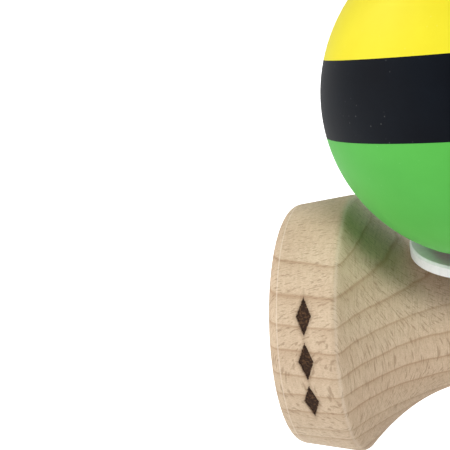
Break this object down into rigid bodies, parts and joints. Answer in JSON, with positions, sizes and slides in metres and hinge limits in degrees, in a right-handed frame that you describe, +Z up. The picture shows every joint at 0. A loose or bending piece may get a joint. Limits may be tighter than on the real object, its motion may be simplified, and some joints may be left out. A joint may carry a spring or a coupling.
{
  "type": "kendama",
  "caption": "Wooden cup-and-ball toy with three cups, a spike, a painted ball resting on it, a loose spacer ring and a slack tether string.",
  "frame": {"origin": "centre of the base cup's rim, on the surface it stands on", "axes": "+Z up along the ken's axis to the spike's tip; -X the way the big cup opens; -Y the side where the string leaves the cross-piece"},
  "size_m": [0.0776, 0.06, 0.1938],
  "materials": {
    "beech": "bare sanded beech",
    "ball_wood": "bare turned beech inside the ball's hole",
    "yellow_paint": "matte rubbery paint",
    "black_paint": "matte rubbery paint",
    "green_paint": "matte rubbery paint",
    "ring_plastic": "satin moulded",
    "bead_plastic": "polished",
    "cord": "braided"
  },
  "bodies": {
    "ken": {"ken": "beech", "cross_piece": "beech", "ken_knot": "cord", "string": "cord"},
    "ring": {"spacer_ring": "ring_plastic"},
    "tether": {"bead_knot": "cord"},
    "bead": {"string_bead": "bead_plastic"},
    "tama": {"ball_core": "ball_wood", "paint_yellow": "yellow_paint", "paint_black": "black_paint", "paint_green": "green_paint"}
  },
  "joints": [
    {"name": "ring_spin", "type": "hinge", "parent": "ken", "child": "ring", "pos_m": [0, 0, 0.13151], "axis": [0, 0, 1], "continuous": true},
    {"name": "tama_lift", "type": "slide", "parent": "ken", "child": "tether", "axis": [0, 0, 1], "range_m": [0, 0.2], "deforming": ["string"]},
    {"name": "tama_rock", "type": "hinge", "parent": "tether", "child": "bead", "pos_m": [0, 0, 0.16006], "axis": [1, 0, 0], "range_deg": [0, 24]},
    {"name": "tama_spin", "type": "hinge", "parent": "bead", "child": "tama", "pos_m": [0, 0, 0.16006], "axis": [0, 0.2079, 0.9781], "continuous": true}
  ]
}
